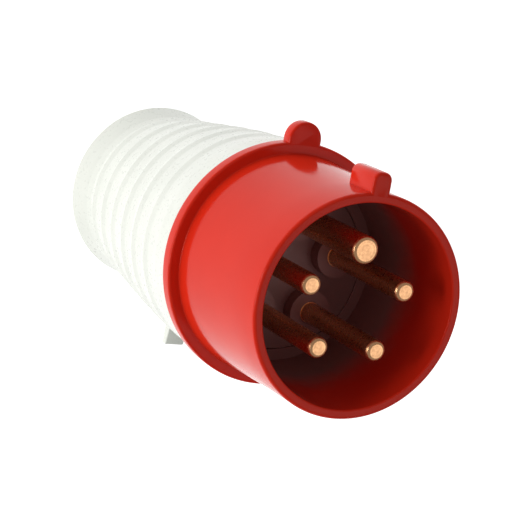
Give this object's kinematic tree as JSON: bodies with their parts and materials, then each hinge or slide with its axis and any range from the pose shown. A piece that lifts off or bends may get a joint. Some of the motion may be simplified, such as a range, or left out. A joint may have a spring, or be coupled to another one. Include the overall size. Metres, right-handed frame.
{
  "type": "industrial pin and sleeve plug",
  "caption": "Straight industrial pin and sleeve plug: a red keyed collar round brass contact pins on a pale ringed handle with a lock tab and a cord gland.",
  "frame": {"origin": "centre of the handle's flared rear lip, on the plane that the plug stands on", "axes": "+Z along the plug's axis towards the contact pins, -Y towards the key on the collar, +Y towards the lock tab"},
  "size_m": [0.0728, 0.085, 0.145],
  "materials": {
    "red_plastic": "glossy moulded plastic, signal red",
    "pale_plastic": "satin to glossy moulded plastic, pale grey-white",
    "dark_plastic": "moulded, dark, slightly satin",
    "brass": "turned, coppery, faint concentric marks",
    "steel": "zinc plated",
    "rubber": "moulded black rubber"
  },
  "bodies": {
    "plug_body": {"front_housing": "red_plastic", "contact_carrier": "dark_plastic", "carrier_back_plate": "dark_plastic", "back_plate_screw": "steel", "carrier_snap_ring": "steel", "earth_pin": "brass", "neutral_pin": "brass", "phase_pin_l1": "brass", "phase_pin_l2": "brass", "phase_pin_l3": "brass", "terminal_screws": "steel", "housing_seal": "rubber", "handle": "pale_plastic", "lock_spring": "steel", "cord_clamp_saddle": "pale_plastic", "cord_clamp_screws": "steel", "cord_clamp_nuts": "steel", "gland_seal": "rubber"},
    "lock_slide_body": {"lock_slide": "pale_plastic"},
    "slip_ring_body": {"slip_ring": "brass"},
    "gland_nut_body": {"gland_nut": "pale_plastic"}
  },
  "joints": [
    {"name": "lock_pull", "type": "slide", "parent": "plug_body", "child": "lock_slide_body", "axis": [0, 0, -1], "range_m": [0, 0.007], "stiffness_N_per_m": 300, "springref_m": -0.004, "deforming": ["lock_spring"]},
    {"name": "gland_travel", "type": "slide", "parent": "plug_body", "child": "slip_ring_body", "axis": [0, 0, 1], "range_m": [-0.0031, 0]},
    {"name": "gland_nut_turn", "type": "hinge", "parent": "slip_ring_body", "child": "gland_nut_body", "pos_m": [0, 0, 0.0128], "axis": [0, 0, 1], "range_deg": [-720, 0]}
  ],
  "couplings": [
    {"joint": "gland_travel", "follows": "gland_nut_turn", "m_per_rad": 0.00023873}
  ]
}
